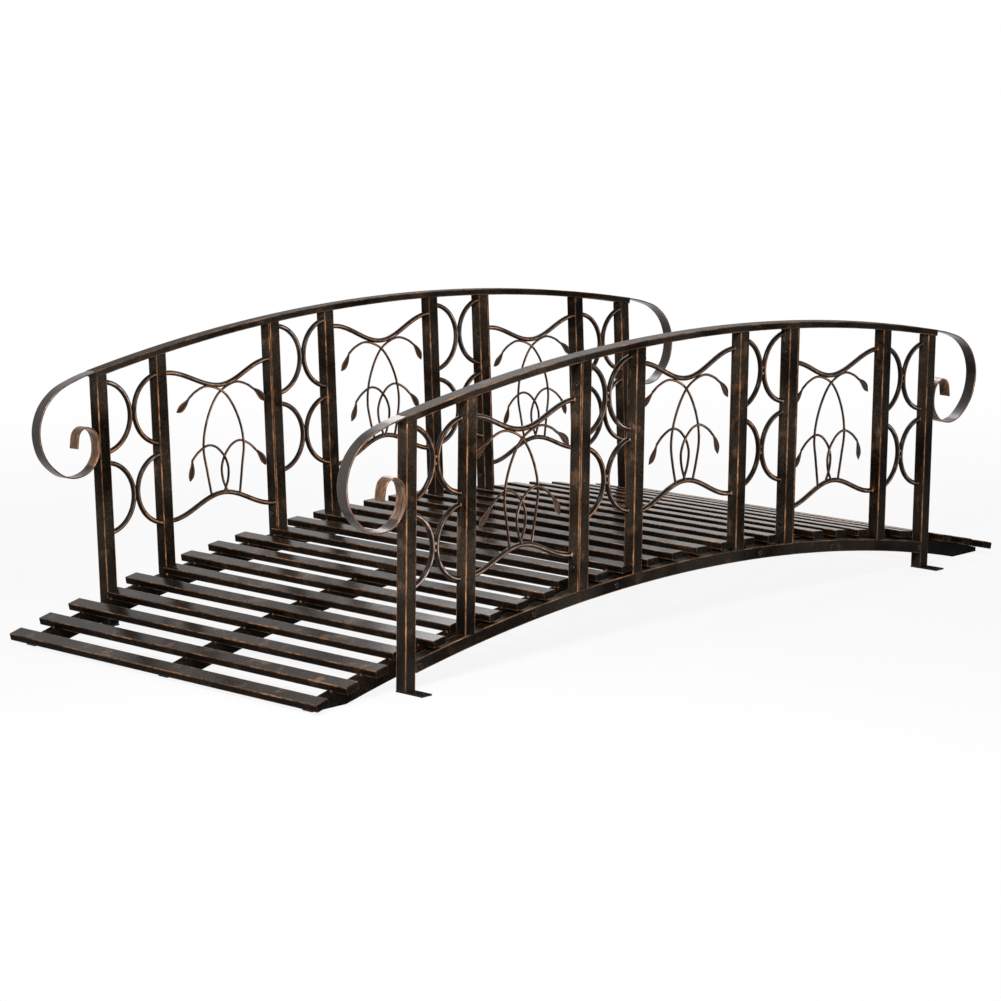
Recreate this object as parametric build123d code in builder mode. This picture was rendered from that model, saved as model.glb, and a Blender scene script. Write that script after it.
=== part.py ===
from build123d import *
import os
from math import cos, hypot, pi, radians, sin, sqrt

# Arched metal garden bridge: a slatted deck between two railings that lean outwards at the top.
# The origin is at mid-span on the ground, +X runs along the bridge and the front railing is at -Y.

# Driving dimensions in millimetres
POST_GRID = 75.0
TUBE = 25.0
FOOT_WIDTH = 852.0
SPLAY = radians(1.74)
RAIL_RADIUS = 4020.0
DECK_RADIUS = 3740.0

HANDRAIL_TOP = 575.5
HANDRAIL_DEPTH = 13.0
HANDRAIL_WIDTH = 30.0
HANDRAIL_OVERHANG = 2.5
STRINGER_TOP = 130.7
STRINGER_DEPTH = 24.0
JOINT_BAR = 4.0
FIT = 0.1

ROD = 10.0
INFILL_IN = 6.0
RING_RADIUS = 69.0
RING_HALF_HEIGHT = 68.0
RING_PITCH = 158.0
RING_SIDES = 24
RING_WELD = 1.0
END_RING_DROP = 15.5
END_RING_SAG = 3.0
INNER_RING_DROP = 10.5

MIDDLE_VINE_TOP = 526.5
MIDDLE_VINE_HEIGHT = 286.0
MIDDLE_WAVE_DROP = 43.0
END_VINE_TOP = 478.5
END_VINE_HEIGHT = 293.5
END_WAVE_DROP = 38.5
END_VINE_SWAY = 6.0
WAVE_STEPS = 12
STEM = 5.0
STEM_STEPS = 14
LEAF_LENGTH = 44.0
LEAF_WIDTH = 12.0
TALL_LEAF_TURN = radians(-51)
SMALL_LEAF_TURN = radians(-66)

# Lines of a middle panel's stems that bend to one side, from the bay's middle and the top bar's ends
TALL_STEM = ((-27, -246), (-43, -171), (0, -62), (26, -46), (52, -41), (95, -61))
SMALL_STEM = ((0, -244), (-14, -190), (0, -158), (38, -138), (80, -164))

# Corners of a leaf, in shares of its length and its width
LEAF_CORNERS = ((-0.1, 0), (0.3, 0.5), (0.6, 0.45), (1, 0), (0.6, -0.45), (0.3, -0.5))

STRIP = 3.0
STRIP_WIDTH = 25.0
SCROLL_STEPS = 30

# Line of an end scroll, out from and up from the handrail's end
CURL_END = (-0.1, -1)
SCROLL_LINE = ((91, -28), (141, -104), (60, -199), (-1, -141), (27, -105), (52, -144))

PLATE = 3.0
FOOT_TAB = 42.0
ANCHOR_RADIUS = 4.0

SLAT_COUNT = 28
SLAT_PITCH = 71.45
SLAT_WIDTH = 30.0
SLAT_DEPTH = 14.0
SLAT_LENGTH = 862.0
SHORT_SLAT_LENGTH = 800.0
SHORT_SLATS = (3, 5, 9, 18, 22, 24)
FIRST_MIDDLE_SLAT = 10
FIRST_RIGHT_SLAT = 18
DECK_TOP = 150.7
BEARER_DEPTH = 30.0
BEARER_WIDTH = 25.0
BEARER_SETTLE = 1.3
BEARER_END = 965.0

# Places worked out from them
RAILING_Y = (FOOT_WIDTH - TUBE) / 2
END_POST, SECOND_POST, JOINT_POST, INNER_POST = (POST_GRID * n for n in (10, 8, 4, 2))
JOINT_X = JOINT_POST + TUBE / 2
RAIL_END = END_POST + TUBE / 2 + HANDRAIL_OVERHANG
SIDES = {"front": -1, "back": 1}


def arch(x, crown, radius):
    """Height at x of an arched line that is crown high at mid-span."""
    return crown - radius + sqrt(radius**2 - x**2)


def under_rail(x):
    """Height of the handrail's underside at x."""
    return arch(x, HANDRAIL_TOP - HANDRAIL_DEPTH, RAIL_RADIUS)


def railing_plane(side):
    """The leaning middle plane of one railing: local x along the bridge, local y up the posts."""
    return Plane(
        origin=(0, side * RAILING_Y, 0),
        x_dir=(1, 0, 0),
        z_dir=(0, -cos(SPLAY), side * sin(SPLAY)),
    )


def strip_outline(points, width):
    """Closed outline of a bar of constant width along a line of points."""
    left, right = [], []
    last = len(points) - 1
    for i, (x, y) in enumerate(points):
        x0, y0 = points[max(i - 1, 0)]
        x1, y1 = points[min(i + 1, last)]
        length = hypot(x1 - x0, y1 - y0)
        nx, ny = -(y1 - y0) / length, (x1 - x0) / length
        left.append((x + nx * width / 2, y + ny * width / 2))
        right.append((x - nx * width / 2, y - ny * width / 2))
    return left + right[::-1]


def sampled(path, steps):
    """Evenly spaced points along a curve, as flat coordinates."""
    places = (path @ (i / steps) for i in range(steps + 1))
    return [(place.X, place.Y) for place in places]


def arched_bar(plane, span, radius, crown, depth, width):
    """A bar that follows an arch over a span along the bridge."""
    start, end = span
    stations = (start, (start + end) / 2, end)
    upper = [(x, arch(x, crown, radius)) for x in stations]
    lower = [(x, arch(x, crown - depth, radius)) for x in stations]
    with BuildPart() as bar:
        with BuildSketch(plane):
            with BuildLine():
                ThreePointArc(*upper)
                Line(upper[-1], lower[-1])
                ThreePointArc(*lower[::-1])
                Line(lower[0], upper[0])
            make_face()
        extrude(amount=width / 2, both=True)
    return bar


def uprights(plane, spans):
    """Posts between the stringer and the handrail; an end post runs down to its foot plate."""
    with BuildPart() as posts:
        with BuildSketch(plane):
            for start, end in spans:
                to_ground = max(abs(start), abs(end)) > END_POST
                low = [-TUBE if to_ground else arch(x, STRINGER_TOP, DECK_RADIUS) + FIT for x in (start, end)]
                corners = [(start, low[0]), (end, low[1]), (end, under_rail(end)), (start, under_rail(start))]
                with BuildLine():
                    Polyline(*corners, close=True)
                make_face()
        extrude(amount=TUBE / 2, both=True)
        split(bisect_by=Plane.XY.offset(PLATE), keep=Keep.TOP)
    return posts


def ring_bays(plane, bays, drop, sag=0.0):
    """Facing half rings, two high, on the posts at both sides of each bay; the outer ones hang lower."""
    with BuildPart() as rings:
        for start, end in bays:
            lower_end = max(abs(start), abs(end))
            upper = under_rail(lower_end) - drop - RING_HALF_HEIGHT
            reach = (end - start) / 2 + RING_WELD - RING_RADIUS - ROD / 2
            for height in (upper, upper - RING_PITCH):
                for post, centre in ((start, start + reach), (end, end - reach)):
                    hang = sag if abs(post) == lower_end else 0
                    with BuildSketch(plane):
                        with Locations((centre, height - hang)):
                            RegularPolygon(RING_RADIUS + ROD / 2, RING_SIDES)
                            RegularPolygon(RING_RADIUS - ROD / 2, RING_SIDES, mode=Mode.SUBTRACT)
                        with Locations(((start + end) / 2, height)):
                            Rectangle(end - start - 2 * FIT, 4 * RING_RADIUS, mode=Mode.INTERSECT)
                    extrude(amount=ROD / 2, both=True)
    return rings


def wave(start, end, ends, drop, sway):
    """Points of a bar that leaves both posts level and dips, or rises, sway away from the bay's middle."""
    points = []
    for i in range(WAVE_STEPS + 1):
        share = i / WAVE_STEPS
        bow = (1 - cos(2 * pi * share)) / 2
        points.append((start + (end - start) * share + sway * bow, ends - drop * bow))
    return points


def vine_stems(centre, top, hand, height, drop):
    """The tall and the small stem that bend over to one side of the bay, each with its leaf's line."""
    lift = MIDDLE_WAVE_DROP - drop
    lower = height - drop - (MIDDLE_VINE_HEIGHT - MIDDLE_WAVE_DROP)
    root, *loop = TALL_STEM
    tall = [(root[0], root[1] - lower)] + [(x, y + lift) for x, y in loop]
    small = [(x, y - lower) for x, y in SMALL_STEM]
    stems = []
    for line, turn in ((tall, TALL_LEAF_TURN), (small, SMALL_LEAF_TURN)):
        path = Spline(*line)
        points = [(centre + hand * x, top + y) for x, y in sampled(path, STEM_STEPS)]
        stems.append((points, (hand * cos(turn), sin(turn))))
    return stems


def leaf_outline(base, along):
    """A lens-shaped leaf with six sides, from its base along its hanging direction."""
    (x, y), (ax, ay) = base, along
    return [
        (x + ax * u * LEAF_LENGTH - ay * v * LEAF_WIDTH, y + ay * u * LEAF_LENGTH + ax * v * LEAF_WIDTH)
        for u, v in LEAF_CORNERS
    ]


def vine_panel(plane, start, end, top, height, drop, sway=0.0):
    """Two wavy bars between a pair of posts, with four looping stems and their leaves."""
    with BuildPart() as vine:
        for ends, dip in ((top, drop), (top - height, -drop)):
            points = wave(start, end, ends, dip, sway)
            with BuildSketch(plane):
                with BuildLine():
                    Polyline(*strip_outline(points, ROD), close=True)
                make_face()
                with Locations(((start + end) / 2, top - height / 2)):
                    Rectangle(end - start - 2 * FIT, 2 * height, mode=Mode.INTERSECT)
            extrude(amount=ROD / 2, both=True)
        for hand in (-1, 1):
            for points, along in vine_stems((start + end) / 2 + sway, top, hand, height, drop):
                for outline in (strip_outline(points, STEM), leaf_outline(points[-1], along)):
                    with BuildSketch(plane):
                        with BuildLine():
                            Polyline(*outline, close=True)
                        make_face()
                    extrude(amount=STEM / 2, both=True)
    return vine


def end_scroll(plane, hand):
    """A flat strip that runs out of the handrail's end, curls down and back to the post, and ends inside."""
    top = arch(RAIL_END, HANDRAIL_TOP, RAIL_RADIUS) - STRIP / 2
    line = [(RAIL_END + STRIP / 2, top)] + [(RAIL_END + out, top + up) for out, up in SCROLL_LINE]
    path = Spline(*line, tangents=[(1, -RAIL_END / RAIL_RADIUS), CURL_END])
    points = [(hand * x, y) for x, y in sampled(path, SCROLL_STEPS)]
    with BuildPart() as scroll:
        with BuildSketch(plane):
            with BuildLine():
                Polyline(*strip_outline(points, STRIP), close=True)
            make_face()
        extrude(amount=STRIP_WIDTH / 2, both=True)
    return scroll


def foot_plates(side):
    """Level plates under the two end posts, each with a tab outside the post for a ground anchor."""
    length = TUBE + FOOT_TAB
    inner = side * (FOOT_WIDTH / 2 - TUBE)
    with BuildPart() as plates:
        with BuildSketch():
            for x in (-END_POST, END_POST):
                with Locations((x, inner + side * length / 2)):
                    Rectangle(TUBE, length)
                with Locations((x, side * (FOOT_WIDTH + FOOT_TAB) / 2)):
                    Circle(ANCHOR_RADIUS, mode=Mode.SUBTRACT)
        extrude(amount=PLATE)
    return plates


def deck_slats(first, last):
    """A run of slats across the bearers, each square to the arch."""
    with BuildPart() as slats:
        for i in range(first, last):
            x = (i - (SLAT_COUNT - 1) / 2) * SLAT_PITCH
            slope = -x / sqrt(DECK_RADIUS**2 - x**2)
            seat = Plane(
                origin=(x, 0, arch(x, DECK_TOP - SLAT_DEPTH, DECK_RADIUS)),
                x_dir=(1, 0, slope),
                z_dir=(-slope, 0, 1),
            )
            with BuildSketch(seat):
                Rectangle(SLAT_WIDTH, SHORT_SLAT_LENGTH if i in SHORT_SLATS else SLAT_LENGTH)
            extrude(amount=SLAT_DEPTH)
    return slats


def deck_bearers(span):
    """Three arched bearers, the outer two flat against the stringers, cut level at the ground."""
    seat = DECK_TOP - SLAT_DEPTH
    lean_in = (TUBE + BEARER_WIDTH) / 2
    lines = [(Plane.XZ, seat)]
    for side in SIDES.values():
        lines.append((railing_plane(side).offset(side * lean_in), seat - BEARER_SETTLE))
    with BuildPart() as bearers:
        for plane, crown in lines:
            add(arched_bar(plane, span, DECK_RADIUS, crown, BEARER_DEPTH, BEARER_WIDTH).part)
        split(bisect_by=Plane.XY, keep=Keep.TOP)
    return bearers


def save(builder, name):
    """Label a finished sub-part and write it under its own name."""
    builder.part.label = name
    export_step(builder.part, f"parts/{name}.step")


os.makedirs("parts", exist_ok=True)

half_tube = TUBE / 2
post_spans = {n: (n - half_tube, n + half_tube) for n in (END_POST, SECOND_POST, JOINT_POST, INNER_POST)}
joint_bar_span = (JOINT_X, JOINT_X + JOINT_BAR)


def mirrored(spans, hand):
    """The same spans along the bridge, on the right (1) or the left (-1) of mid-span."""
    return [tuple(sorted((hand * a, hand * b))) for a, b in spans]


outer_posts = [post_spans[END_POST], post_spans[SECOND_POST], joint_bar_span]
inner_posts = [post_spans[JOINT_POST], post_spans[INNER_POST]]
end_bay = (SECOND_POST + half_tube, END_POST - half_tube)
inner_bay = (INNER_POST + half_tube, JOINT_POST - half_tube)
vine_bay = (JOINT_X + JOINT_BAR, SECOND_POST - half_tube)
middle_vine_bay = (half_tube - INNER_POST, INNER_POST - half_tube)
end_vine = (END_VINE_TOP, END_VINE_HEIGHT, END_WAVE_DROP)
middle_vine = (MIDDLE_VINE_TOP, MIDDLE_VINE_HEIGHT, MIDDLE_WAVE_DROP)


def railing_section(name, plane, span, stringer_span, post_list):
    """The handrail, stringer and posts of one section of a railing."""
    handrail = arched_bar(plane, span, RAIL_RADIUS, HANDRAIL_TOP, HANDRAIL_DEPTH, HANDRAIL_WIDTH)
    stringer = arched_bar(plane, stringer_span, DECK_RADIUS, STRINGER_TOP, STRINGER_DEPTH, TUBE)
    save(handrail, f"{name}_handrail")
    save(stringer, f"{name}_stringer")
    save(uprights(plane, post_list), f"{name}_posts")


for side_name, side in SIDES.items():
    plane = railing_plane(side)
    infill = plane.offset(side * INFILL_IN)
    for end_name, hand in (("left", -1), ("right", 1)):
        name = f"{side_name}_{end_name}"
        rail_span, stringer_span, vine_span = mirrored(
            [(JOINT_X, RAIL_END), (JOINT_X, END_POST - half_tube), vine_bay], hand
        )
        railing_section(name, plane, rail_span, stringer_span, mirrored(outer_posts, hand))
        save(vine_panel(infill, *vine_span, *end_vine, -hand * END_VINE_SWAY), f"{name}_vine")
        save(ring_bays(infill, mirrored([end_bay], hand), END_RING_DROP, END_RING_SAG), f"{name}_rings")
        save(end_scroll(plane, hand), f"{name}_scroll")
    name = f"{side_name}_middle"
    middle_span = (-JOINT_X, JOINT_X)
    both_hands = mirrored(inner_posts, -1) + mirrored(inner_posts, 1)
    both_bays = mirrored([inner_bay], -1) + mirrored([inner_bay], 1)
    railing_section(name, plane, middle_span, middle_span, both_hands)
    save(ring_bays(infill, both_bays, INNER_RING_DROP), f"{name}_rings")
    save(vine_panel(infill, *middle_vine_bay, *middle_vine), f"{name}_vine")
    save(foot_plates(side), f"{side_name}_feet")

deck_sections = {
    "left": (0, FIRST_MIDDLE_SLAT, -BEARER_END, -JOINT_X),
    "middle": (FIRST_MIDDLE_SLAT, FIRST_RIGHT_SLAT, -JOINT_X, JOINT_X),
    "right": (FIRST_RIGHT_SLAT, SLAT_COUNT, JOINT_X, BEARER_END),
}
for name, (first, last, *span) in deck_sections.items():
    save(deck_slats(first, last), f"deck_{name}_slats")
    save(deck_bearers(span), f"deck_{name}_bearers")
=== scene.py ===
from collections import namedtuple
from math import atan2, cos, hypot, pi, radians, sin, sqrt

import bmesh
import bpy
from mathutils import Matrix, Vector


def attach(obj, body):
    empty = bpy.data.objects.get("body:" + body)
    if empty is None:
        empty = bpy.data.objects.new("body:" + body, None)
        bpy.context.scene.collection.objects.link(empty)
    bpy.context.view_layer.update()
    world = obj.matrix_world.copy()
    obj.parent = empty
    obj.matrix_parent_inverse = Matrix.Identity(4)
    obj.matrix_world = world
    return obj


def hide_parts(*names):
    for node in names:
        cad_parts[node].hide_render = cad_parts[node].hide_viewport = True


# The finished look of an arched metal garden bridge, laid over its CAD frame.
# Metres, in the frame of the CAD part: mid-span on the ground, +X along the bridge, front railing at -Y.

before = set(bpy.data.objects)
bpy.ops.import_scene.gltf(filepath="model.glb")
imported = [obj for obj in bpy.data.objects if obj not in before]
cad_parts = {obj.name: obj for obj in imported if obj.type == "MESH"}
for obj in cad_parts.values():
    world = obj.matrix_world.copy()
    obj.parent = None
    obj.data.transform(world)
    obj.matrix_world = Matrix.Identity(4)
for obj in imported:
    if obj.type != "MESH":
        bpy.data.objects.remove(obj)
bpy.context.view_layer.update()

# Driving sizes, the same as those of the CAD part
POST_GRID = 0.075
TUBE = 0.025
FOOT_WIDTH = 0.852
SPLAY = radians(1.74)
RAIL_RADIUS = 4.02
DECK_RADIUS = 3.74
HANDRAIL_TOP = 0.5755
HANDRAIL_DEPTH = 0.013
HANDRAIL_WIDTH = 0.030
HANDRAIL_OVERHANG = 0.0025
STRINGER_TOP = 0.1307
STRINGER_DEPTH = 0.024
JOINT_BAR = 0.004
ROD = 0.010
INFILL_IN = 0.006
RING_RADIUS = 0.069
RING_HALF_HEIGHT = 0.068
RING_PITCH = 0.158
END_RING_DROP = 0.0155
INNER_RING_DROP = 0.0105
MIDDLE_VINE_TOP = 0.5265
MIDDLE_VINE_HEIGHT = 0.286
MIDDLE_WAVE_DROP = 0.043
END_VINE_TOP = 0.4785
END_VINE_HEIGHT = 0.2935
END_WAVE_DROP = 0.0385
STEM = 0.005
STRIP = 0.003
STRIP_WIDTH = 0.025
PLATE = 0.003
SLAT_COUNT = 28
SLAT_PITCH = 0.07145
SLAT_WIDTH = 0.030
SLAT_DEPTH = 0.014
SLAT_LENGTH = 0.862
SHORT_SLAT_LENGTH = 0.800
SHORT_SLATS = (3, 5, 9, 18, 22, 24)
DECK_TOP = 0.1507

# Weld beads at a scroll and under the slats: their radius, and how far out and along the slats have them
WELD = 0.0035
SLAT_WELD_Y = 0.39
SLAT_WELD_END = 0.960

# Rounded and worn edges, and how much wear each form has; on rod and stem crests and on weld beads this
# copper wear is partly a painted highlight
CORNER = 0.0014
BEVEL = 0.0008
FADE = 0.0008
FADE_SHARE = 0.8
END_WEAR = 0.2
# Rod and stem crests: copper brushed along them, standing partly as a painted highlight line
CREST = 0.95
ROD_CREST_COPPER_AND_HIGHLIGHT = 1.9
STEM_CREST_COPPER_AND_HIGHLIGHT = 2.0
# Weld beads: worn copper strong enough to show as painted glints, weaker on the beads under the slats
BEAD_WEAR_AND_GLINT = 1.6
SLAT_BEAD_WEAR_AND_GLINT = 0.6

# Fineness of the meshes
CORNER_STEPS = 4
ROD_SIDES = 16
STEM_SIDES = 12
BEAD_ROWS = 5
BEAD_SIDES = 8
BEAD_CAP = 0.04
BAR_STEP = 0.03
ROD_STEP = 0.004
CHART_GAP = 0.137
UPWARD = 0.8
SMOOTH_ANGLE = radians(42)
TINY = 1e-9

# Places worked out from the driving sizes
RAILING_Y = (FOOT_WIDTH - TUBE) / 2
END_POST, SECOND_POST, JOINT_POST, INNER_POST = (POST_GRID * n for n in (10, 8, 4, 2))
HALF_TUBE = TUBE / 2
JOINT_X = JOINT_POST + HALF_TUBE
RAIL_END = END_POST + HALF_TUBE + HANDRAIL_OVERHANG
SIDES = {"front": -1, "back": 1}
ENDS = {"left": -1, "right": 1}

Place = namedtuple("Place", "centre across up scale worn sunk", defaults=((1.0, 1.0), 0.0, False))


def arch(x, crown, radius):
    """Height at x of an arched line that is crown high at mid-span."""
    return crown - radius + sqrt(radius**2 - x**2)


def under_rail(x):
    """Height of the handrail's underside at x."""
    return arch(x, HANDRAIL_TOP - HANDRAIL_DEPTH, RAIL_RADIUS)


def railing_up(side):
    """Direction up the leaning posts of one railing."""
    return Vector((0.0, side * sin(SPLAY), cos(SPLAY)))


def railing_out(side):
    """Direction out of one railing, away from the deck."""
    return Vector((0.0, side * cos(SPLAY), -sin(SPLAY)))


def on_railing(side, x, up, out=0.0):
    """World place of a point given along the bridge, up the posts and outwards."""
    foot = Vector((x, side * RAILING_Y, 0.0))
    return foot + up * railing_up(side) + out * railing_out(side)


def box_section(width, height, corner=CORNER):
    """A rounded rectangle as (across, up, wear) points, worn at its corners only."""
    fade = min(FADE, FADE_SHARE * (min(width, height) / 2 - corner))
    points = []
    for quarter in range(4):
        start = quarter * pi / 2
        middle = start + pi / 4
        cx = (width / 2 - corner) * (1 if cos(middle) > 0 else -1)
        cy = (height / 2 - corner) * (1 if sin(middle) > 0 else -1)
        arc = [start + i * pi / 2 / CORNER_STEPS for i in range(CORNER_STEPS + 1)]
        rounded = [(cx + corner * cos(a), cy + corner * sin(a), 1.0) for a in arc]
        x0, y0, _ = rounded[0]
        x1, y1, _ = rounded[-1]
        before = (x0 + fade * sin(arc[0]), y0 - fade * cos(arc[0]), 0.0)
        after = (x1 - fade * sin(arc[-1]), y1 + fade * cos(arc[-1]), 0.0)
        points += [before, *rounded, after]
    return points


def round_section(diameter, sides=ROD_SIDES, crest_copper_and_highlight=0.0):
    """A round rod's section, brushed with copper along its two crests, in front and at the back of the
    railing; that crest copper is partly a painted highlight.
    """
    radius = diameter / 2
    turns = [2 * pi * i / sides for i in range(sides)]
    return [(radius * cos(t), radius * sin(t), crest_copper_and_highlight * (abs(sin(t)) > CREST)) for t in turns]


def spread(points, step):
    """Points at about an even step along a smooth line through the given flat points."""
    out = []
    last = len(points) - 1
    for i in range(last):
        p0, p1, p2, p3 = (Vector(points[min(max(k, 0), last)]) for k in (i - 1, i, i + 1, i + 2))
        span = (p2 - p1).length
        m1 = (p2 - p0) * (span / max((p1 - p0).length + span, TINY))
        m2 = (p3 - p1) * (span / max((p3 - p2).length + span, TINY))
        count = max(2, round(span / step))
        for k in range(count):
            t = k / count
            a = 2 * t**3 - 3 * t**2 + 1
            b = t**3 - 2 * t**2 + t
            c = -2 * t**3 + 3 * t**2
            d = t**3 - t**2
            out.append(a * p1 + b * m1 + c * p2 + d * m2)
    out.append(Vector(points[-1]))
    return [(p.x, p.y) for p in out]


def railing_path(side, points, out=0.0):
    """Places along flat points in a railing's plane, with the section's up pointing outwards."""
    places = []
    last = len(points) - 1
    for i, (x, z) in enumerate(points):
        x0, z0 = points[max(i - 1, 0)]
        x1, z1 = points[min(i + 1, last)]
        length = hypot(x1 - x0, z1 - z0)
        tx, tz = (x1 - x0) / length, (z1 - z0) / length
        across = -tz * Vector((1, 0, 0)) + tx * railing_up(side)
        places.append(Place(on_railing(side, x, z, out), across, railing_out(side)))
    return places


def bevelled(places, bevel):
    """The same places with a small worn bevel put on at both ends."""
    if not bevel:
        return list(places)
    run = list(places)
    for _ in range(2):
        end, following = run[0], run[1]
        ahead = (following.centre - end.centre).normalized()
        cap = end._replace(scale=(-bevel - FADE, -bevel - FADE), sunk=True)
        tip = end._replace(worn=END_WEAR, scale=(-bevel, -bevel))
        rim = end._replace(centre=end.centre + bevel * ahead, worn=END_WEAR)
        clear = end._replace(centre=end.centre + (bevel + FADE) * ahead)
        run = [cap, tip, rim, clear] + run[1:]
        run.reverse()
    return run


class Skin:
    """Gathers swept forms into one mesh, and keeps their wear and a chart of lengths for the finish."""

    def __init__(self):
        self.points = []
        self.wear = []
        self.faces = []
        self.chart = []
        self.run = 0.0

    def sweep(self, places, section, bevel=0.0):
        """Carries a closed section through the places and closes both ends."""
        places = bevelled(places, bevel)
        half_a = max(abs(a) for a, b, w in section)
        half_b = max(abs(b) for a, b, w in section)
        count = len(section)
        first = len(self.points)
        around = [0.0]
        for i in range(count):
            (a0, b0, _), (a1, b1, _) = section[i], section[(i + 1) % count]
            around.append(around[-1] + hypot(a1 - a0, b1 - b0))
        along = [self.run]
        for one, other in zip(places, places[1:]):
            along.append(along[-1] + (other.centre - one.centre).length)
        self.run = along[-1] + CHART_GAP
        for place in places:
            sa, sb = place.scale
            if sa < 0:
                sa, sb = 1 + sa / half_a, 1 + sb / half_b
            for a, b, worn in section:
                self.points.append(place.centre + sa * a * place.across + sb * b * place.up)
                self.wear.append(0.0 if place.sunk else max(worn, place.worn))
        for i in range(len(places) - 1):
            for j in range(count):
                k = (j + 1) % count
                low, high = first + i * count, first + (i + 1) * count
                self.faces.append((low + j, low + k, high + k, high + j))
                u0, u1 = around[j], around[j + 1]
                v0, v1 = along[i], along[i + 1]
                self.chart.append(((u0, v0), (u1, v0), (u1, v1), (u0, v1)))
        for i in (0, len(places) - 1):
            self.faces.append(tuple(first + i * count + j for j in range(count)))
            self.chart.append(tuple((a, along[i] + b) for a, b, w in section))

    def bead(self, centre, radius, worn=BEAD_WEAR_AND_GLINT):
        """A rounded bead of weld, its worn copper partly a painted glint."""
        places = []
        for i in range(BEAD_ROWS + 1):
            angle = -pi / 2 + pi * (BEAD_CAP + (1 - 2 * BEAD_CAP) * i / BEAD_ROWS)
            scale = (cos(angle), cos(angle))
            middle = centre + radius * sin(angle) * Vector((0, 0, 1))
            places.append(Place(middle, Vector((1, 0, 0)), Vector((0, 1, 0)), scale, worn))
        self.sweep(places, round_section(2 * radius, BEAD_SIDES))

    def piece(self, name, finish, nodes=(), top=None):
        """Makes the finished piece, in place of the CAD nodes that it covers; top is a copy of the paint for
        upward faces, whose tone apart from the sides is painted light and shade.
        """
        mesh = bpy.data.meshes.new(name)
        mesh.from_pydata(self.points, [], self.faces)
        wear = mesh.attributes.new("wear", "FLOAT", "POINT")
        wear.data.foreach_set("value", self.wear)
        chart = mesh.uv_layers.new(name="chart")
        flat = [value for corners in self.chart for uv in corners for value in uv]
        chart.data.foreach_set("uv", flat)
        tidy = bmesh.new()
        tidy.from_mesh(mesh)
        bmesh.ops.recalc_face_normals(tidy, faces=tidy.faces)
        tidy.to_mesh(mesh)
        tidy.free()
        mesh.shade_smooth()
        mesh.set_sharp_from_angle(angle=SMOOTH_ANGLE)
        mesh.materials.append(finish)
        if top:
            mesh.materials.append(top)
            for face in mesh.polygons:
                face.material_index = int(face.normal.z > UPWARD)
        made = bpy.data.objects.new(name, mesh)
        bpy.context.scene.collection.objects.link(made)
        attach(made, "root")
        if nodes:
            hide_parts(*nodes)
        return made


class Finish:
    """A procedural material under construction."""

    def __init__(self, name):
        self.material = bpy.data.materials.new(name)
        self.material.use_nodes = True
        self.tree = self.material.node_tree
        self.tree.nodes.clear()

    def add(self, kind, inputs=None, **settings):
        """A node with its settings, and its inputs given as values or linked from outputs."""
        node = self.tree.nodes.new(kind)
        for key, value in settings.items():
            setattr(node, key, value)
        for key, value in (inputs or {}).items():
            if isinstance(value, bpy.types.NodeSocket):
                self.tree.links.new(value, node.inputs[key])
            else:
                node.inputs[key].default_value = value
        return node

    def maths(self, operation, a, b=0.0, clamp=False):
        """One step of arithmetic."""
        node = self.add("ShaderNodeMath", {0: a, 1: b}, operation=operation, use_clamp=clamp)
        return node.outputs[0]

    def ramp(self, value, low, high):
        """0 below low, 1 above high and smooth between them."""
        node = self.add(
            "ShaderNodeMapRange",
            {"Value": value, "From Min": low, "From Max": high},
            interpolation_type="SMOOTHSTEP",
        )
        return node.outputs["Result"]

    def noise(self, vector, scale=1.0, detail=2.0, stretch=None):
        """Smooth noise, stretched along some axes."""
        if stretch:
            vector = self.add(
                "ShaderNodeVectorMath", {0: vector, 1: stretch}, operation="MULTIPLY"
            ).outputs[0]
        node = self.add(
            "ShaderNodeTexNoise", {"Vector": vector, "Scale": scale, "Detail": detail}
        )
        return node.outputs["Fac"]

    def between(self, share, low, high):
        """A number from low at 0 to high at 1."""
        node = self.add("ShaderNodeMapRange", {"Value": share, "To Min": low, "To Max": high})
        return node.outputs["Result"]

    def mix(self, amount, a, b):
        """A colour between two colours."""
        node = self.add("ShaderNodeMix", {0: amount, 6: a, 7: b}, data_type="RGBA")
        return node.outputs[2]


# Colours of the paint
BLACK = (0.0036, 0.0031, 0.0027, 1.0)
SOOT = (0.0018, 0.0016, 0.0015, 1.0)
UMBER = (0.080, 0.050, 0.032, 1.0)
GOLD = (0.215, 0.128, 0.064, 1.0)
COPPER = (0.56, 0.260, 0.120, 1.0)
# Pale copper for worn crests, beads and scroll edges, partly a painted highlight
PALE_COPPER_HIGHLIGHT = (0.64, 0.46, 0.37, 1.0)

# Patterns of the paint: noise over the bridge, and strokes stretched round and along each piece
BROAD_SCALE = 7.0
PATCH_SCALE = 30.0
GRAIN_SCALE = 430.0
BRUSH_STROKE = (620.0, 11.0, 1.0)
LONG_RUB = (70.0, 13.0, 1.0)
SHORT_RUB = (220.0, 70.0, 1.0)

# Noise levels between which each pattern comes in
HEAVY_RANGE = (0.36, 0.62)
LONG_RUB_RANGE = (0.42, 0.66)
SHORT_RUB_RANGE = (0.30, 0.65)
PATCH_RANGE = (0.55, 0.68)
SPECK_RANGE = (0.46, 0.64)
STREAK_RANGE = (0.45, 0.75)
# The last range sets where worn copper turns to pale copper, partly a painted highlight
SILVER_HIGHLIGHT_RANGE = (0.44, 0.58)

# Least share of each pattern where it is thin
LONG_RUB_LEAST = 0.28
SHORT_RUB_LEAST = 0.25
PATCH_LEAST = 0.4
SPECK_LEAST = 0.3

# Height of the post feet with plain paint, and the sheen and grain of the paint
BARE_TO = 0.03
GLOSS_SPREAD = 0.08
COPPER_METAL = 0.35
GRAIN_STRENGTH = 0.12
GRAIN_DEPTH = 0.0004


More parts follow.
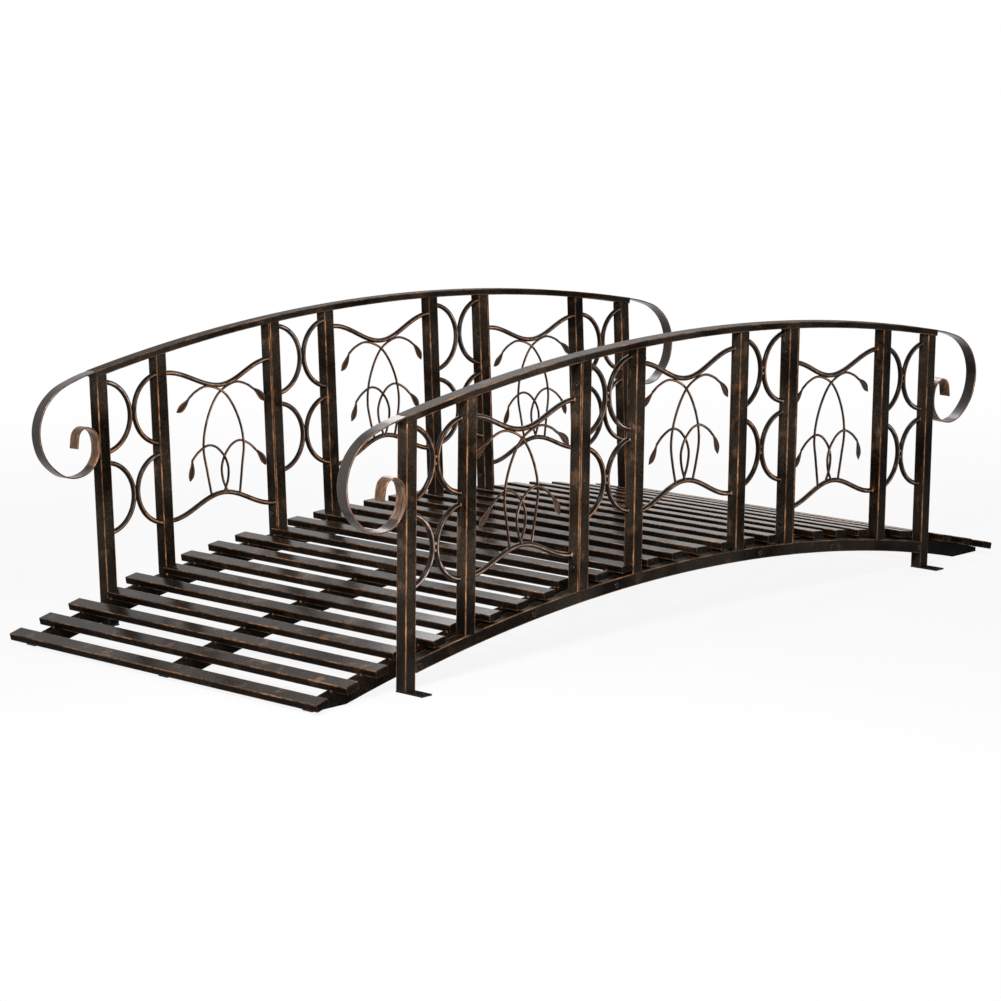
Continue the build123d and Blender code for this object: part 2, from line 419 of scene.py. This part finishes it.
def bronze(
    name, light, dark=BLACK, roughness=0.42, specular=0.02, metal=0.0,
    edges=1.0, mottle=0.0, patches=0.0, streak=0.5, pale=0.0, bare_from=None,
):
    """Antique bronze paint: black, with copper brushed on edges and in streaks, specks and patches; where
    pale is set, that copper turns pale in broad patches, partly a painted highlight.
    """
    f = Finish(name)
    room = f.add("ShaderNodeTexCoord").outputs["Object"]
    chart = f.add("ShaderNodeUVMap", uv_map="chart").outputs["UV"]
    wear = f.add("ShaderNodeAttribute", attribute_name="wear").outputs["Fac"]
    broad = f.noise(room, BROAD_SCALE, detail=3.0)
    middling = f.noise(room, PATCH_SCALE, detail=6.0)
    grain = f.noise(room, GRAIN_SCALE, detail=3.0)
    brushed = f.noise(chart, detail=3.0, stretch=BRUSH_STROKE)
    heavy = f.ramp(broad, *HEAVY_RANGE)

    long_rubs = f.ramp(f.noise(chart, stretch=LONG_RUB), *LONG_RUB_RANGE)
    short_rubs = f.ramp(f.noise(chart, stretch=SHORT_RUB), *SHORT_RUB_RANGE)
    rubbed = f.maths(
        "MULTIPLY",
        f.between(long_rubs, LONG_RUB_LEAST, 1.0),
        f.between(short_rubs, SHORT_RUB_LEAST, 1.0),
    )
    worn_edge_and_highlight = f.maths("MULTIPLY", f.maths("MULTIPLY", wear, rubbed), edges)

    patch_share = f.between(heavy, PATCH_LEAST * patches, patches)
    speck_share = f.between(heavy, SPECK_LEAST * mottle, mottle)
    warmth = f.maths("MULTIPLY", f.ramp(middling, *PATCH_RANGE), patch_share)
    specks = f.maths("MULTIPLY", f.ramp(grain, *SPECK_RANGE), speck_share)
    if bare_from:
        height = f.add("ShaderNodeSeparateXYZ", {0: room}).outputs["Z"]
        clear = f.ramp(height, BARE_TO, bare_from)
        warmth, specks = (f.maths("MULTIPLY", share, clear) for share in (warmth, specks))
    streaks = f.maths("MULTIPLY", f.ramp(brushed, *STREAK_RANGE), streak)
    copper_and_highlight = f.maths("MAXIMUM", f.maths("MULTIPLY", warmth, streaks), worn_edge_and_highlight, clamp=True)

    ground = f.mix(heavy, dark, light)
    ground = f.mix(specks, f.mix(warmth, ground, UMBER), GOLD)
    # Partly a painted highlight: in broad patches the worn copper turns to pale copper, as far as pale says
    silvery_highlight = f.maths("MULTIPLY", f.ramp(broad, *SILVER_HIGHLIGHT_RANGE), pale)
    colour = f.mix(copper_and_highlight, ground, f.mix(silvery_highlight, COPPER, PALE_COPPER_HIGHLIGHT))
    gloss = f.between(brushed, roughness - GLOSS_SPREAD, roughness + GLOSS_SPREAD)
    metallic = f.between(copper_and_highlight, metal, metal + COPPER_METAL)
    bump = f.add(
        "ShaderNodeBump",
        {"Strength": GRAIN_STRENGTH, "Distance": GRAIN_DEPTH, "Height": grain},
    )
    skin = f.add("ShaderNodeBsdfPrincipled", {
        "Base Color": colour,
        "Roughness": gloss,
        "Metallic": metallic,
        "Specular IOR Level": specular,
        "Normal": bump.outputs[0],
    })
    f.add("ShaderNodeOutputMaterial", {"Surface": skin.outputs[0]})
    return f.material


post_finish = bronze(
    "bronze_posts", dark=SOOT, light=(0.019, 0.0158, 0.0132, 1.0), edges=0.85, mottle=0.22,
    patches=0.42, streak=0.8, bare_from=0.20,
)
rail_finish = bronze(
    "bronze_rails", light=(0.019, 0.017, 0.0145, 1.0), edges=0.6, mottle=0.11, patches=0.25,
)
# Upward rail faces take a copy of the rail paint in another tone and gloss; the tone apart from the sides is
# painted light and shade
top_finish = bronze(
    "bronze_rail_tops", dark=(0.007, 0.006, 0.005, 1.0), light=(0.011, 0.009, 0.008, 1.0),
    roughness=0.45, specular=0.03, edges=0.55, mottle=0.12, patches=0.3,
)
# Rods, vines and scroll strips take pale copper on their worn crests and edges, partly a painted highlight
rod_finish = bronze(
    "bronze_rods", light=(0.010, 0.008, 0.006, 1.0), roughness=0.26, specular=0.10,
    patches=0.35, pale=1.0,
)
vine_finish = bronze(
    "bronze_vines", light=(0.012, 0.009, 0.007, 1.0), roughness=0.28, specular=0.10,
    patches=0.45, streak=0.6, pale=0.5,
)
strip_finish = bronze(
    "bronze_strips", dark=(0.012, 0.010, 0.009, 1.0), light=(0.044, 0.036, 0.031, 1.0),
    roughness=0.28, specular=0.35, metal=0.40, edges=0.9, patches=0.2, streak=0.3, pale=0.6,
)
# Slat sides take near-black paint and the slat tops a lighter, glossier copy; the split in tone between sides
# and tops is painted light and shade
deck_finish = bronze(
    "bronze_deck", dark=SOOT, light=BLACK, roughness=0.45, edges=0.55, mottle=0.1, patches=0.2,
)
deck_top_finish = bronze(
    "bronze_deck_tops", dark=(0.006, 0.005, 0.0045, 1.0), light=(0.010, 0.0085, 0.0075, 1.0),
    roughness=0.19, specular=0.10, edges=0.7, mottle=0.18, patches=0.6,
)
black_finish = bronze(
    "black_paint", dark=SOOT, light=SOOT, roughness=0.26, specular=0.22, edges=0.3, patches=0.1,
)


def arched_points(start, end, crown, radius):
    """Flat points of a bar's middle line that follows the arch."""
    count = max(2, round((end - start) / BAR_STEP))
    stations = [start + (end - start) * i / count for i in range(count + 1)]
    return [(x, arch(x, crown, radius)) for x in stations]


def mirrored(spans, hand):
    """The same spans along the bridge, on the right (1) or the left (-1) of mid-span."""
    return [tuple(sorted((hand * a, hand * b))) for a, b in spans]


def handrail(name, side, start, end):
    """A flat rail whose top follows the arch."""
    skin = Skin()
    path = arched_points(start, end, HANDRAIL_TOP - HANDRAIL_DEPTH / 2, RAIL_RADIUS)
    skin.sweep(railing_path(side, path), box_section(HANDRAIL_DEPTH, HANDRAIL_WIDTH), BEVEL)
    skin.piece(f"{name}_handrail_bar", rail_finish, [f"{name}_handrail"], top_finish)


def stringer(name, side, start, end):
    """The bar under the posts, which follows the deck's arch."""
    skin = Skin()
    path = arched_points(start, end, STRINGER_TOP - STRINGER_DEPTH / 2, DECK_RADIUS)
    skin.sweep(railing_path(side, path), box_section(STRINGER_DEPTH, TUBE), BEVEL)
    skin.piece(f"{name}_stringer_bar", rail_finish, [f"{name}_stringer"])


def posts(name, side, spans):
    """Square posts and joint bars between the stringer and the handrail."""
    skin = Skin()
    for start, end in spans:
        middle, width = (start + end) / 2, end - start
        to_ground = abs(middle) > END_POST - HALF_TUBE
        low = PLATE if to_ground else arch(middle, STRINGER_TOP, DECK_RADIUS) - CORNER
        path = [(middle, low), (middle, under_rail(middle) + CORNER)]
        corner = CORNER if width > 4 * CORNER else width / 5
        skin.sweep(railing_path(side, path), box_section(width, TUBE, corner), BEVEL)
    skin.piece(f"{name}_post_tubes", post_finish, [f"{name}_posts"])


# Half rings run past a half turn; weld beads and their lift are shares of the rod
RING_OPENING = pi / 2 + 0.17
RING_BEAD = 0.36
TOUCH_BEAD = 0.30
TOUCH_LIFT = 0.6
VINE_BEAD = 0.42


def rings(name, side, bays, drop, sag=0.0):
    """Facing half rings of round rod, two high, welded to posts and each other; the outer ones sag."""
    skin = Skin()
    for start, end in bays:
        lower_end = max(abs(start), abs(end))
        upper = under_rail(lower_end) - drop - RING_HALF_HEIGHT
        reach = (end - start) / 2 - RING_RADIUS - ROD / 2
        for height in (upper, upper - RING_PITCH):
            for post, centre, hand in ((start, start + reach, 1), (end, end - reach, -1)):
                hang = height - (sag if abs(post) == lower_end else 0.0)
                count = round(2 * RING_OPENING * RING_RADIUS / ROD_STEP)
                turns = [-RING_OPENING + 2 * RING_OPENING * i / count for i in range(count + 1)]
                path = [(centre + hand * RING_RADIUS * cos(t), hang + RING_RADIUS * sin(t)) for t in turns]
                inside = [p for p in path if start - ROD / 4 < p[0] < end + ROD / 4]
                skin.sweep(railing_path(side, inside, -INFILL_IN), round_section(ROD, crest_copper_and_highlight=ROD_CREST_COPPER_AND_HIGHLIGHT))
                for x, z in (inside[0], inside[-1]):
                    weld = on_railing(side, x - hand * ROD / 4, z, ROD / 4 - INFILL_IN)
                    skin.bead(weld, ROD * RING_BEAD)
            middle, level = (start + end) / 2, height - sag / 2
            for lift in (-TOUCH_LIFT, TOUCH_LIFT):
                weld = on_railing(side, middle, level + lift * ROD, ROD / 4 - INFILL_IN)
                skin.bead(weld, ROD * TOUCH_BEAD)
    skin.piece(f"{name}_ring_rods", rod_finish, [f"{name}_rings"])


# Hand bending: how far the outer half rings sag, how far the top bar's dip is off the bay's middle, how far
# the small stems hang, and how far the tall and the small stems, left and right, are off the bay's middle
RING_SAG = {"front_right": 0.005, "back_left": 0.0015}
VINE_SWAY = {"front_right": -0.006, "back_left": 0.006}
SMALL_STEM_DROP = {"front_right": 0.006, "back_left": 0.006, "back_right": 0.002}
STEM_SHIFT = {
    "front_left": ((0.003, -0.004), (0.000, 0.000)),
    "front_right": ((-0.002, -0.017), (-0.015, -0.002)),
    "back_left": ((0.016, 0.000), (0.002, 0.016)),
    "back_right": ((0.002, -0.002), (-0.001, 0.008)),
}

# How far each leaf swings out, in degrees: those of the tall stems, left and right, then of the small ones
LEAF_SWING = {
    "front_left": ((13, 17), (13, 11)),
    "front_middle": ((8, 6), (0, 4)),
    "front_right": ((0, 15), (4, -8)),
    "back_left": ((8, 14), (-20, 19)),
    "back_middle": ((-11, 0), (-9, 19)),
    "back_right": ((0, 14), (-8, 5)),
}

# Lines of a middle panel's stems that bend to one side, from the bay's middle and the top bar's ends
TALL_STEM = (
    (-0.027, -0.246), (-0.037, -0.208), (-0.043, -0.171), (-0.038, -0.132), (-0.022, -0.092),
    (0.000, -0.062), (0.026, -0.047), (0.052, -0.042), (0.078, -0.050), (0.095, -0.061),
)
SMALL_STEM = (
    (0.000, -0.243), (-0.011, -0.214), (-0.014, -0.190), (-0.009, -0.172), (0.000, -0.158),
    (0.017, -0.143), (0.038, -0.138), (0.063, -0.149), (0.080, -0.164),
)

# How the leaves hang from those stems, and how far crossing stems stand apart, as a share of their rod
TALL_LEAF_TURN = radians(-51)
SMALL_LEAF_TURN = radians(-66)
STEM_OUT = 0.45

# Leaves are hammered out wider than the plain leaf of the CAD part, and are a little shorter
LEAF_LENGTH = 0.041
LEAF_WIDTH = 0.0155
LEAF_SECTION = (
    (1.0, 0.0, 0.7), (0.45, 0.7, 0.0), (0.0, 1.0, 0.5), (-0.45, 0.7, 0.0), (-1.0, 0.0, 0.7), (0.0, -0.5, 0.0)
)
LEAF_STEPS = 12
LEAF_BEND = 0.25
LEAF_SPAN = 1.04
LEAF_SWELL = 1.35
LEAF_TIP_FROM = 0.7
LEAF_TIP_LENGTH = 0.31
LEAF_TIP_LEAST = 0.02
LEAF_THICK = 0.5
LEAF_THINNING = 0.2


def leaf(skin, side, base, turn, out):
    """A slender hammered leaf that hangs from a stem, widest past its middle."""
    bx, bz = base
    path = []
    for i in range(LEAF_STEPS + 1):
        t = i / LEAF_STEPS
        bend = turn + LEAF_BEND * (0.5 - t)
        path.append((bx + t * LEAF_LENGTH * cos(bend), bz + t * LEAF_LENGTH * sin(bend)))
    places = []
    for i, place in enumerate(railing_path(side, path, out)):
        t = i / LEAF_STEPS
        width = STEM / 2 + (LEAF_WIDTH - STEM) / 2 * sin(pi * min(1.0, t / LEAF_SPAN) ** LEAF_SWELL)
        if t > LEAF_TIP_FROM:
            width *= sqrt(max(LEAF_TIP_LEAST, 1 - ((t - LEAF_TIP_FROM) / LEAF_TIP_LENGTH) ** 2))
        thick = STEM * (LEAF_THICK - LEAF_THINNING * t)
        places.append(place._replace(scale=(width, thick)))
    skin.sweep(places, LEAF_SECTION)


def vine(name, side, start, end, top, height, drop):
    """Two wavy rods between a pair of posts, with four looping stems and their leaves."""
    skin = Skin()
    sway = VINE_SWAY.get(name, 0.0)
    shifts = STEM_SHIFT.get(name, ((0.0, 0.0), (0.0, 0.0)))

    def bow(x):
        """Share of a wavy bar's dip at x."""
        return (1 - cos(2 * pi * (x - start) / (end - start))) / 2

    count = round((end - start) / ROD_STEP)
    stations = [start + (end - start) * i / count for i in range(count + 1)]
    for ends, dip, shift in ((top, drop, sway), (top - height, -drop, 0.0)):
        wave = [(x + shift * bow(x), ends - dip * bow(x)) for x in stations]
        skin.sweep(railing_path(side, wave, -INFILL_IN), round_section(ROD, crest_copper_and_highlight=ROD_CREST_COPPER_AND_HIGHLIGHT))
        for x in (start, end):
            skin.bead(on_railing(side, x, ends, ROD / 4 - INFILL_IN), ROD * VINE_BEAD)
    lift = MIDDLE_WAVE_DROP - drop
    lower = height - drop - (MIDDLE_VINE_HEIGHT - MIDDLE_WAVE_DROP) + SMALL_STEM_DROP.get(name, 0.0)
    stems = ((TALL_STEM, lift, TALL_LEAF_TURN), (SMALL_STEM, -lower, SMALL_LEAF_TURN))
    for (line, rise, hang), pair, swings in zip(stems, shifts, LEAF_SWING[name]):
        for hand, shift, swing in zip((-1, 1), pair, swings):
            out = hand * STEM * STEM_OUT - INFILL_IN
            points = [((start + end) / 2 + shift + hand * x, top + rise + z) for x, z in line]
            root = points[0][0]
            points[0] = (root, top - height + drop * bow(root))
            path = spread(points, ROD_STEP)
            skin.sweep(railing_path(side, path, out), round_section(STEM, STEM_SIDES, STEM_CREST_COPPER_AND_HIGHLIGHT))
            turn = hang + radians(swing)
            leaf(skin, side, path[-1], turn if hand > 0 else pi - turn, out)
    skin.piece(f"{name}_vine_work", vine_finish, [f"{name}_vine"])


# Line of an end scroll, out from and up from the handrail's end
SCROLL_LINE = (
    (-0.002, 0.0004), (0.043, -0.010), (0.091, -0.028), (0.126, -0.060), (0.141, -0.104), (0.130, -0.152),
    (0.095, -0.188), (0.060, -0.199), (0.025, -0.191), (0.003, -0.167), (-0.001, -0.141), (0.006, -0.117),
    (0.027, -0.105), (0.045, -0.114), (0.052, -0.144),
)
SCROLL_WELD = 0.141
CURL_SHARE = 0.72
CURL_WEAR = 0.8


def scroll(name, side, hand):
    """A flat strip out of the handrail's end that curls down, back to the post and in on itself."""
    top = arch(RAIL_END, HANDRAIL_TOP, RAIL_RADIUS) - STRIP / 2
    line = [(RAIL_END + out, top + up) for out, up in SCROLL_LINE]
    skin = Skin()
    places = railing_path(side, spread([(hand * x, z) for x, z in line], ROD_STEP))
    curl = round(CURL_SHARE * len(places))
    places[curl:] = [place._replace(worn=CURL_WEAR) for place in places[curl:]]
    skin.sweep(places, box_section(STRIP, STRIP_WIDTH, STRIP / 4), STRIP / 5)
    weld = on_railing(side, hand * (END_POST + HALF_TUBE), top - SCROLL_WELD, HALF_TUBE - WELD)
    skin.bead(weld, WELD)
    skin.piece(f"{name}_scroll_strip", strip_finish, [f"{name}_scroll"])


def deck(name, first, last):
    """Flat tubes across the bearers, each square to the arch."""
    skin = Skin()
    for i in range(first, last):
        x = (i - (SLAT_COUNT - 1) / 2) * SLAT_PITCH
        tilt = atan2(-x, sqrt(DECK_RADIUS**2 - x**2))
        across = Vector((cos(tilt), 0.0, sin(tilt)))
        up = Vector((-sin(tilt), 0.0, cos(tilt)))
        middle = Vector((x, 0.0, arch(x, DECK_TOP - SLAT_DEPTH, DECK_RADIUS))) + SLAT_DEPTH / 2 * up
        half = (SHORT_SLAT_LENGTH if i in SHORT_SLATS else SLAT_LENGTH) / 2
        ends = [Place(middle + Vector((0.0, y, 0.0)), across, up) for y in (-half, half)]
        skin.sweep(ends, box_section(SLAT_WIDTH, SLAT_DEPTH), BEVEL)
        for y in (-SLAT_WELD_Y, 0.0, SLAT_WELD_Y):
            for edge in (-1, 1):
                corner = middle + edge * SLAT_WIDTH / 2 * across - SLAT_DEPTH / 2 * up
                if abs(corner.x) < SLAT_WELD_END:
                    skin.bead(corner + Vector((0.0, y, 0.0)), WELD, SLAT_BEAD_WEAR_AND_GLINT)
    skin.piece(f"deck_{name}_slat_tubes", deck_finish, [f"deck_{name}_slats"], deck_top_finish)


outer_posts = [
    (END_POST - HALF_TUBE, END_POST + HALF_TUBE),
    (SECOND_POST - HALF_TUBE, SECOND_POST + HALF_TUBE),
    (JOINT_X, JOINT_X + JOINT_BAR),
]
inner_posts = [(n - HALF_TUBE, n + HALF_TUBE) for n in (JOINT_POST, INNER_POST)]
end_bay = (SECOND_POST + HALF_TUBE, END_POST - HALF_TUBE)
inner_bay = (INNER_POST + HALF_TUBE, JOINT_POST - HALF_TUBE)
vine_bay = (JOINT_X + JOINT_BAR, SECOND_POST - HALF_TUBE)

for side_name, side in SIDES.items():
    for end_name, hand in ENDS.items():
        name = f"{side_name}_{end_name}"
        (rail_span,) = mirrored([(JOINT_X, RAIL_END)], hand)
        (stringer_span,) = mirrored([(JOINT_X, END_POST - HALF_TUBE)], hand)
        (vine_span,) = mirrored([vine_bay], hand)
        handrail(name, side, *rail_span)
        stringer(name, side, *stringer_span)
        posts(name, side, mirrored(outer_posts, hand))
        rings(name, side, mirrored([end_bay], hand), END_RING_DROP, RING_SAG.get(name, 0.0))
        vine(name, side, *vine_span, END_VINE_TOP, END_VINE_HEIGHT, END_WAVE_DROP)
        scroll(name, side, hand)
    name = f"{side_name}_middle"
    handrail(name, side, -JOINT_X, JOINT_X)
    stringer(name, side, -JOINT_X, JOINT_X)
    posts(name, side, [span for hand in (-1, 1) for span in mirrored(inner_posts, hand)])
    inner_bays = mirrored([inner_bay], -1) + mirrored([inner_bay], 1)
    rings(name, side, inner_bays, INNER_RING_DROP)
    middle_span = (HALF_TUBE - INNER_POST, INNER_POST - HALF_TUBE)
    vine(name, side, *middle_span, MIDDLE_VINE_TOP, MIDDLE_VINE_HEIGHT, MIDDLE_WAVE_DROP)

DECK_SECTIONS = {"left": (0, 10), "middle": (10, 18), "right": (18, SLAT_COUNT)}
for name, (first, last) in DECK_SECTIONS.items():
    deck(name, first, last)

# Bolts that join the sections and hold the bearers to the stringers
BOLT_HEAD = 0.0115
JOINT_BOLT_HEIGHTS = (0.160, 0.504)
STRINGER_BOLTS = (0.727, 0.435, 0.210)
HEAD_SIDES = 14
NUT_SIDES = 6

# A direction off the axes of all the bolts, which sets how their heads are turned
SLANT = Vector((0.0, 0.6, 0.8))

# Height above the seat and width of a head and a nut, as shares of the head's radius
HEAD_PROFILE = ((0.0, 1.0), (0.22, 1.0), (0.40, 0.90), (0.52, 0.68), (0.55, 0.45), (0.34, 0.42), (0.30, 0.20))
NUT_PROFILE = ((0.0, 1.0), (0.50, 1.0), (0.55, 0.80), (0.80, 0.60), (0.95, 0.30))


def fastener(skin, seat, axis, profile, sides):
    """A bolt head or a nut turned round its axis, standing on its seat."""
    across = axis.cross(SLANT).normalized()
    up = axis.cross(across)
    half = BOLT_HEAD / 2
    places = [Place(seat + rise * half * axis, across, up, (width, width)) for rise, width in profile]
    skin.sweep(places, round_section(BOLT_HEAD, sides))


def bolts(name, side):
    """All the bolts of one railing."""
    skin = Skin()
    x_axis = Vector((1.0, 0.0, 0.0))
    joint = (JOINT_POST - HALF_TUBE, JOINT_X + JOINT_BAR)
    for height in JOINT_BOLT_HEIGHTS:
        for left, right in mirrored([joint], -1) + [joint]:
            fastener(skin, on_railing(side, left, height), -x_axis, HEAD_PROFILE, HEAD_SIDES)
            fastener(skin, on_railing(side, right, height), x_axis, NUT_PROFILE, NUT_SIDES)
    for place in STRINGER_BOLTS:
        for x in (-place, place):
            level = arch(x, STRINGER_TOP - STRINGER_DEPTH / 2, DECK_RADIUS)
            seat = on_railing(side, x, level, HALF_TUBE)
            fastener(skin, seat, railing_out(side), HEAD_PROFILE, HEAD_SIDES)
    skin.piece(f"{name}_bolts", black_finish)


for side_name, side in SIDES.items():
    bolts(side_name, side)

# CAD nodes that are shown as they are
for name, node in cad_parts.items():
    if name.endswith(("_feet", "_bearers")):
        node.data.materials.clear()
        node.data.materials.append(deck_finish if name.endswith("_bearers") else black_finish)

# Floor and light
FLOOR_RADIUS = 3.2
FLOOR_FADE = 1.2
FLOOR_VEIL = 0.90
FLOOR_SIDES = 96
FLOOR_PAINT = (0.70, 0.70, 0.70, 1.0)
WHITE = (1.0, 1.0, 1.0, 1.0)
ROOM_LIGHT = 0.10


def plainly_seen(tree):
    """1 for what the camera sees, straight, mirrored or through glass, and 0 for light on the bridge."""
    path = tree.nodes.new("ShaderNodeLightPath")
    seen = path.outputs["Is Camera Ray"]
    for ray in ("Is Glossy Ray", "Is Transmission Ray"):
        either = tree.nodes.new("ShaderNodeMath")
        either.operation = "MAXIMUM"
        tree.links.new(seen, either.inputs[0])
        tree.links.new(path.outputs[ray], either.inputs[1])
        seen = either.outputs[0]
    return seen


def pale_floor():
    """A pale floor that fades into the background away from the bridge."""
    f = Finish("pale_floor")
    room = f.add("ShaderNodeTexCoord").outputs["Object"]
    away = f.add("ShaderNodeVectorMath", {0: room}, operation="LENGTH").outputs["Value"]
    fade = f.ramp(away, FLOOR_FADE, FLOOR_RADIUS)
    seen = plainly_seen(f.tree)
    paint = f.add("ShaderNodeBsdfDiffuse", {"Color": FLOOR_PAINT})
    white = f.add("ShaderNodeEmission", {"Color": WHITE, "Strength": 1.0})
    veil = f.add(
        "ShaderNodeMixShader",
        {0: f.maths("MULTIPLY", seen, FLOOR_VEIL), 1: paint.outputs[0], 2: white.outputs[0]},
    )
    clear = f.add("ShaderNodeBsdfTransparent")
    both = f.add("ShaderNodeMixShader", {0: fade, 1: veil.outputs[0], 2: clear.outputs[0]})
    f.add("ShaderNodeOutputMaterial", {"Surface": both.outputs[0]})
    bpy.ops.mesh.primitive_circle_add(radius=FLOOR_RADIUS, fill_type="NGON", vertices=FLOOR_SIDES)
    floor = bpy.context.object
    floor.name = "pale_floor"
    floor.data.materials.append(f.material)


def lamp(name, place, target, size, power):
    """A soft square lamp that points at a target."""
    data = bpy.data.lights.new(name, "AREA")
    data.size = size
    data.energy = power
    made = bpy.data.objects.new(name, data)
    made.location = place
    made.rotation_euler = (Vector(target) - Vector(place)).to_track_quat("-Z", "Y").to_euler()
    bpy.context.scene.collection.objects.link(made)


def room_light():
    """White all round as it is seen, and a low even light on the bridge."""
    world = bpy.data.worlds.new("studio")
    bpy.context.scene.world = world
    world.use_nodes = True
    tree = world.node_tree
    tree.nodes.clear()
    level = tree.nodes.new("ShaderNodeMapRange")
    level.inputs["To Min"].default_value = ROOM_LIGHT
    level.inputs["To Max"].default_value = 1.0
    tree.links.new(plainly_seen(tree), level.inputs["Value"])
    sky = tree.nodes.new("ShaderNodeBackground")
    sky.inputs["Color"].default_value = WHITE
    tree.links.new(level.outputs["Result"], sky.inputs["Strength"])
    out = tree.nodes.new("ShaderNodeOutputWorld")
    tree.links.new(sky.outputs[0], out.inputs["Surface"])


pale_floor()
room_light()
lamp("key_lamp", place=(-1.5, -1.5, 1.6), target=(-0.6, -0.4, 0.2), size=0.5, power=46.0)
lamp("left_lamp", place=(-2.4, -1.0, 1.1), target=(-0.7, -0.3, 0.3), size=0.5, power=24.0)
lamp("back_lamp", place=(1.7, 1.6, 2.3), target=(0.5, 0.3, 0.2), size=1.6, power=50.0)

# Camera, fitted to the photograph
CAMERA_PLACE = (-4.7944, -4.6089, 1.4051)
CAMERA_TURN = radians(-45.646)
CAMERA_RISE = radians(10.313)
CAMERA_ROLL = radians(-0.565)
CAMERA_LENS = 120.69
CAMERA_SENSOR = 36.0


def camera():
    """The photograph's viewpoint, with no lens shift."""
    data = bpy.data.cameras.new("photo_camera")
    data.sensor_width = CAMERA_SENSOR
    data.lens = CAMERA_LENS
    data.dof.use_dof = False
    made = bpy.data.objects.new("photo_camera", data)
    back = Vector((
        sin(CAMERA_TURN) * cos(CAMERA_RISE),
        -cos(CAMERA_TURN) * cos(CAMERA_RISE),
        sin(CAMERA_RISE),
    ))
    right = Vector((cos(CAMERA_TURN), sin(CAMERA_TURN), 0.0))
    up = back.cross(right)
    c, s = cos(CAMERA_ROLL), sin(CAMERA_ROLL)
    axes = Matrix((c * right + s * up, -s * right + c * up, back)).transposed()
    made.matrix_world = Matrix.Translation(CAMERA_PLACE) @ axes.to_4x4()
    scene = bpy.context.scene
    scene.collection.objects.link(made)
    scene.camera = made
    scene.view_settings.view_transform = "Standard"


camera()
